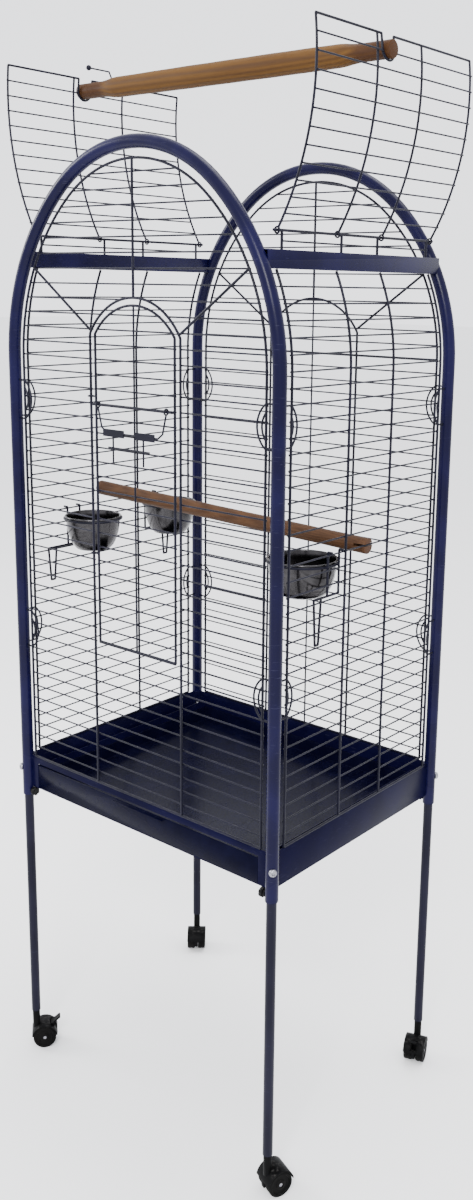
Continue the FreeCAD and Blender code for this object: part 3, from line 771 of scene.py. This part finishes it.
@dataclass
class Bowls:
    """Three spun steel bowls with rolled rims, one larger than the other two."""

    bodies: dict[str, str] = field(
        default_factory=lambda: {
            "bowl_left_front": "bowl_a", "bowl_left_back": "bowl_b", "bowl_right": "bowl_c",
        }
    )
    lip: float = 1.7
    wall: float = 0.9
    base: float = 0.62
    floor: float = 1.8
    sides: int = 72
    heel: Profile = ((0.3, 0.9), (0.56, 0.9), (0.58, 0.2), (0.62, 0.0))
    flank: Profile = (
        (-10.4, 3.6), (-7.6, 8.0), (-5.6, 12.6), (-3.9, 17.6), (-2.1, 24.0), (-1.1, 30.0),
        (-0.5, 36.0), (-0.1, 42.0), (0.0, 43.4),
    )
    rim: Profile = (
        (1.0, 43.3), (1.5, 43.8), (1.7, 44.6), (1.6, 45.4), (1.1, 45.9), (0.3, 46.0),
        (-0.6, 45.6), (-0.95, 44.8),
    )

    def profile(self, radius: float) -> list[tuple[float, float]]:
        """The outline of a bowl, from its base up the outside and down the inside.

        Args:
            radius: the bowl's radius at its mouth, in millimetres.

        Returns:
            The (radius, height) of each ring.
        """
        heel = [(share * radius, height) for share, height in self.heel]
        outside = [(radius + step, height) for step, height in self.flank]
        rim = [(radius + step, height) for step, height in self.rim]
        inside = [(edge - self.wall, height + self.wall * 0.5) for edge, height in reversed(outside[:-2])]
        floor = [
            (radius * self.base, self.floor + 0.4), (radius * 0.5, self.floor), (radius * 0.25, self.floor),
        ]
        return [*heel, *outside, *rim, *inside, *floor]

    def build(self) -> None:
        """Turn each bowl on its own centre."""
        for node, body in self.bodies.items():
            low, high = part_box(node)
            radius = (high.x - low.x) / 2 / MM - self.lip
            bowl = Bench.turned(node + "_spun", self.profile(radius), self.sides)
            Bench.smooth(bowl, 50.0)
            centre = Vector(((low.x + high.x) / 2, (low.y + high.y) / 2, low.z))
            Bench.place(bowl, Matrix.Translation(centre))
            steel = SpunSteel("spun_steel_" + body, (centre.x, centre.y, 0.0)).material()
            fit(bowl, steel, body, [node])


@dataclass
class Wheels:
    """Four pairs of castor wheels with a tread groove and a dished face."""

    trail: float = 11.5
    radius: float = 16.5
    profile: Profile = (
        (5.0, 3.1), (15.2, 3.1), (16.1, 3.4), (16.5, 4.2), (16.5, 7.9), (15.9, 8.3), (15.9, 9.2),
        (16.5, 9.6), (16.5, 13.4), (16.2, 14.1), (15.5, 14.5), (14.0, 14.6), (13.0, 14.5),
        (12.3, 13.3), (11.6, 13.1), (7.2, 13.1), (6.4, 13.4), (5.8, 14.3), (5.2, 14.6),
        (3.1, 14.6), (2.7, 14.4), (2.6, 14.0),
    )

    def build(self) -> None:
        """Turn one wheel and copy it to both sides of each castor."""
        master = Bench.turned("wheel_master", self.profile, 48)
        Bench.smooth(master, 32.0)
        hub = Matrix.Translation((self.trail * MM, 0, self.radius * MM))
        for corner in Corner:
            pair = []
            for axis in (Axis.Y, Axis.MINUS_Y):
                wheel = Bench.copy(master, "wheel")
                pair.append(Bench.place(wheel, corner.foot @ hub @ axis.matrix))
            both = Bench.join("castor_" + corner.label + "_wheel_pair", pair)
            node = "castor_" + corner.label + "_wheels"
            fit(both, Finish.WHEEL.material, "wheels_" + corner.label, [node])
        Bench.remove(master)


@dataclass
class Perches:
    """The two turned perches, with eased ends."""

    radius: float = 10.0
    body_radius: float = 13.4
    sides: int = 40
    top_ends: tuple[Triple, Triple] = ((-252.0, -24.0, 0.0), (252.0, -24.0, 0.0))
    inner_ends: tuple[Triple, Triple] = ((-221.0, -30.0, 820.0), (221.0, 5.0, 796.5))
    notches: tuple[Triple, Triple] = ((-217.0, -30.0, 816.5), (217.0, 5.0, 798.5))
    notch_size: Triple = (22.0, 40.0, 3.2)
    ease: float = 1.2
    plain_end: float = 44.0
    shoulder: float = 28.0
    belly: float = 0.6
    rings: int = 56

    def swell(self, away: float, half: float) -> float:
        """How much thicker than its ends the top perch is.

        Args:
            away: distance from the middle, in millimetres.
            half: half of its length.

        Returns:
            The extra radius.
        """
        share = min(1.0, max(0.0, (half - self.plain_end - away) / self.shoulder))
        rise = (self.body_radius - self.belly - self.radius) * share * share * (3 - 2 * share)
        body = half - self.plain_end - self.shoulder
        return rise + (self.belly * (1 - (away / body) ** 2) if away < body else 0.0)

    def rod(self, name: str, length: float, swelling: bool) -> bpy.types.Object:
        """Turn a rod whose thickness wavers a little.

        Args:
            name: the rod's name.
            length: its length in millimetres.
            swelling: whether it is thicker between its ends.

        Returns:
            The rod, standing on the origin.
        """
        radius, ease = self.radius, self.ease
        rings = [(radius - ease, 0.0), (radius - ease * 0.3, ease * 0.3), (radius - 0.05, ease)]
        for index in range(1, self.rings):
            height = length * index / self.rings
            waver = 0.07 * math.sin(index * 0.9) + 0.05 * math.sin(index * 0.37)
            extra = self.swell(abs(height - length / 2), length / 2) if swelling else 0.0
            rings.append((radius - 0.12 + waver + extra, height))
        rings += [(edge, length - height) for edge, height in reversed(rings[:3])]
        rod = Bench.turned(name, rings, self.sides)
        Bench.smooth(rod, 40.0)
        return rod

    def build(self) -> None:
        """Build both perches."""
        low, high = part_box("top_perch")
        middle = (low.z + high.z) / 2
        top = self.rod("top_perch_turned", self.top_ends[1][0] - self.top_ends[0][0], True)
        start = Matrix.Translation((self.top_ends[0][0] * MM, self.top_ends[0][1] * MM, middle))
        Bench.place(top, start @ Axis.X.matrix)
        fit(top, Finish.TOP_PERCH.material, "perch_top", ["top_perch"])
        left, right = (Vector(end) * MM for end in self.inner_ends)
        line = right - left
        inner = self.rod("inner_perch_turned", line.length / MM, False)
        turn = line.to_track_quat("Z", "Y").to_matrix().to_4x4()
        Bench.place(inner, Matrix.Translation(left) @ turn)
        for x, y, z in self.notches:
            bpy.ops.mesh.primitive_cube_add(size=1, location=(x * MM, y * MM, z * MM))
            cutter = bpy.context.object
            cutter.dimensions = Vector(self.notch_size) * MM
            Bench.take(cutter)
            bpy.ops.object.transform_apply(location=True, rotation=True, scale=True)
            Bench.cut(inner, cutter)
        fit(inner, Finish.INNER_PERCH.material, "cage", ["inner_perch"])


@dataclass
class LegScrews:
    """Lobed knobs on the screws that clamp the legs."""

    height: float = 406.5
    profile: Profile = (
        (2.0, 2.0), (2.0, 8.1), (4.0, 8.2), (4.3, 9.4), (4.3, 10.8), (5.2, 11.0), (6.0, 11.8),
        (6.0, 15.8), (5.3, 16.6), (4.2, 17.0), (2.6, 16.7),
    )
    lobes: int = 6
    grip_low: float = 10.9
    grip_radius: float = 5.0
    valley: float = 0.19
    pinch: float = 0.87

    def build(self) -> None:
        """Turn one knob, pinch its sides into lobes and copy it to the four legs."""
        master = Bench.turned("knob_master", self.profile, 48)
        step = 2 * math.pi / self.lobes

        def in_valley(place: Vector) -> bool:
            """Whether a vertex lies between two lobes."""
            off_middle = abs(math.atan2(place.y, place.x) % step - step / 2)
            on_grip = place.z > self.grip_low * MM and place.xy.length > self.grip_radius * MM
            return on_grip and off_middle < step * self.valley

        Bench.pick(master, in_valley)
        bpy.ops.transform.resize(value=(self.pinch, self.pinch, 1), center_override=(0, 0, 0))
        bpy.ops.object.mode_set(mode="OBJECT")
        Bench.smooth(master, 40.0)
        knobs = []
        for corner in Corner:
            axis = Axis.MINUS_X if corner.value[0] > 0 else Axis.X
            spot = corner.post(self.height * MM) @ axis.matrix
            knobs.append(Bench.place(Bench.copy(master, "knob"), spot))
        Bench.remove(master)
        joined = Bench.join("leg_knobs", knobs)
        fit(joined, Finish.KNOB.material, "cage", ["leg_thumb_screws"])


@dataclass
class WireWelds:
    """The small beads that resistance welding leaves where two wires cross."""

    first_bar: float = 474.5
    pitch: float = 18.0
    bars: int = 30
    end_plane: float = 171.4
    side_plane: float = 220.4
    radius: float = 1.7
    front_uprights: tuple[float, ...] = (-204.0, 204.0)
    back_uprights: tuple[float, ...] = (-204.0, -76.0, 0.0, 76.0, 204.0)
    side_uprights: tuple[float, ...] = (-152.0, -44.0, 44.0, 152.0)

    def crossings(self) -> list[Triple]:
        """Where the bars of the four panels cross their uprights, in millimetres."""
        heights = [self.first_bar + self.pitch * index for index in range(self.bars)]
        front = [(x, -self.end_plane, z) for z in heights for x in self.front_uprights]
        back = [(x, self.end_plane, z) for z in heights for x in self.back_uprights]
        sides = [
            (side * self.side_plane, y, z) for z in heights for side in (-1, 1) for y in self.side_uprights
        ]
        return front + back + sides

    def build(self) -> None:
        """Model one bead and copy it to every crossing."""
        bpy.ops.object.select_all(action="DESELECT")
        bpy.ops.mesh.primitive_ico_sphere_add(subdivisions=1, radius=self.radius * MM)
        master = bpy.context.object
        Bench.smooth(master, 80.0)
        beads = []
        for place in self.crossings():
            beads.append(Bench.copy(master, "bead"))
            beads[-1].data.transform(Matrix.Translation(Vector(place) * MM))
        Bench.remove(master)
        joined = Bench.join("panel_weld_beads", beads)
        fit(joined, Finish.WIRE.material, "cage")


@dataclass
class BaseFixings:
    """Socket-head bolts through the base's corners, and their domed nuts."""

    height: float = 440.0
    bolt: Profile = (
        (2.0, -14.4), (2.0, 7.9), (4.9, 8.0), (4.95, 8.6), (4.7, 9.9), (4.0, 11.1), (2.9, 11.8),
        (2.0, 12.0), (1.9, 10.6),
    )
    nut: Profile = (
        (4.4, -10.1), (4.4, -12.9), (3.8, -13.6), (3.5, -14.6), (3.0, -16.1), (2.1, -17.3), (0.9, -17.85),
    )
    barrel: float = 4.2

    def build(self) -> None:
        """Model one bolt and one nut and copy them to the corners."""
        bolt = Bench.turned("bolt_master", self.bolt, 24)
        Bench.smooth(bolt, 35.0)
        nut = Bench.turned("nut_master", self.nut, 24)
        self.flatten_to_hexagon(nut)
        Bench.smooth(nut, 30.0)
        groups: dict[str, list[bpy.types.Object]] = {"base_bolts": [], "base_cap_nuts": []}
        for corner in Corner:
            side_x, side_y = corner.value[:2]
            outward = Vector((side_x, side_y, 0)).to_track_quat("Z", "Y").to_matrix().to_4x4()
            spot = corner.post(self.height * MM) @ outward
            for node, master in (("base_bolts", bolt), ("base_cap_nuts", nut)):
                groups[node].append(Bench.place(Bench.copy(master, node), spot))
        for node, copies in groups.items():
            joined = Bench.join(node + "_set", copies)
            fit(joined, Finish.ZINC.material, "cage", [node])
        Bench.remove(bolt)
        Bench.remove(nut)

    def flatten_to_hexagon(self, nut: bpy.types.Object) -> None:
        """Pull the nut's barrel in to six flats.

        Args:
            nut: the turned nut, still round.
        """
        step = math.pi / 3
        for share in (1, 2, 3):
            away = step * share / 4

            def on_ring(place: Vector, away: float = away) -> bool:
                """Whether a vertex of the barrel lies this far round from a corner."""
                turn = math.atan2(place.y, place.x) % step
                return place.xy.length > self.barrel * MM and abs(turn - away) < 0.05

            Bench.pick(nut, on_ring)
            scale = math.cos(step / 2) / math.cos(away - step / 2)
            bpy.ops.transform.resize(value=(scale, scale, 1), center_override=(0, 0, 0))
            bpy.ops.object.mode_set(mode="OBJECT")


# ---------------------------------------------------------------- studio


@dataclass
class Studio:
    """Pale floor, soft lights and the camera."""

    eye: Triple = (0.9837, -1.1132, 1.1038)
    yaw: float = 39.01
    pitch: float = -12.158
    roll: float = 0.912
    focal: float = 34.046
    shift: tuple[float, float] = (-0.03418, -0.05705)

    def floor(self) -> None:
        """Lay the pale floor."""
        bpy.ops.object.select_all(action="DESELECT")
        bpy.ops.mesh.primitive_plane_add(size=60.0, location=(0, 0, -0.0004))
        plane = bpy.context.object
        plane.name = "studio_floor"
        graph = Graph("pale_floor")
        cloud = graph.noise(graph.coordinates, 1.2, 2.0)
        colour = graph.mix(cloud, (0.86, 0.86, 0.86, 1.0), (0.89, 0.89, 0.89, 1.0))
        plane.data.materials.append(graph.close({"Base Color": colour, "Roughness": 0.65}))

    def lamp(self, name: str, place: Triple, aim: Triple, size: float, power: float) -> None:
        """Hang one soft square lamp.

        Args:
            name: the lamp's name.
            place: where it hangs.
            aim: the point that it faces.
            size: its width in metres.
            power: its power in watts.
        """
        lamp = bpy.data.lights.new(name, "AREA")
        lamp.size = size
        lamp.energy = power
        holder = bpy.data.objects.new(name, lamp)
        holder.location = place
        holder.rotation_euler = (Vector(aim) - Vector(place)).to_track_quat("-Z", "Y").to_euler()
        bpy.context.collection.objects.link(holder)

    def lights(self) -> None:
        """Light the room evenly and hang the lamps."""
        world = bpy.data.worlds.new("studio")
        bpy.context.scene.world = world
        world.use_nodes = True
        world.node_tree.nodes["Background"].inputs["Color"].default_value = (0.95, 0.96, 1.0, 1.0)
        world.node_tree.nodes["Background"].inputs["Strength"].default_value = 2.4
        self.lamp("key", (1.6, -2.6, 2.6), (0, 0, 0.8), 1.0, 130.0)
        self.lamp("side", (-2.6, -1.2, 1.9), (0, 0, 0.8), 1.0, 60.0)
        self.lamp("top", (0.2, 0.6, 3.4), (0, 0, 0.6), 1.6, 60.0)

    def camera(self) -> None:
        """Stand the camera at its viewing angle."""
        yaw, pitch, roll = (math.radians(angle) for angle in (self.yaw, self.pitch, self.roll))
        forward = Vector((-math.sin(yaw) * math.cos(pitch), math.cos(yaw) * math.cos(pitch), math.sin(pitch)))
        level = Vector((math.cos(yaw), math.sin(yaw), 0))
        up = level.cross(forward)
        right = level * math.cos(roll) + up * math.sin(roll)
        up = up * math.cos(roll) - level * math.sin(roll)
        lens = bpy.data.cameras.new("camera")
        lens.lens = self.focal
        lens.sensor_width = 36.0
        lens.shift_x, lens.shift_y = self.shift
        lens.dof.use_dof = False
        lens.clip_start = 0.05
        holder = bpy.data.objects.new("camera", lens)
        facing = Matrix((right, up, -forward)).transposed().to_4x4()
        holder.matrix_world = Matrix.Translation(self.eye) @ facing
        bpy.context.collection.objects.link(holder)
        bpy.context.scene.camera = holder

    def build(self) -> None:
        """Set the studio up."""
        self.floor()
        self.lights()
        self.camera()


def main() -> None:
    """Dress the frame, build the fine pieces and set the studio up."""
    logging.basicConfig(level=logging.INFO, format="%(name)s: %(message)s")
    Studio().build()
    CarriedOver().dress()
    for part in (Sheetwork(), Bowls(), Wheels(), Perches(), LegScrews(), BaseFixings(), WireWelds()):
        part.build()


if __name__ == "__main__":
    main()
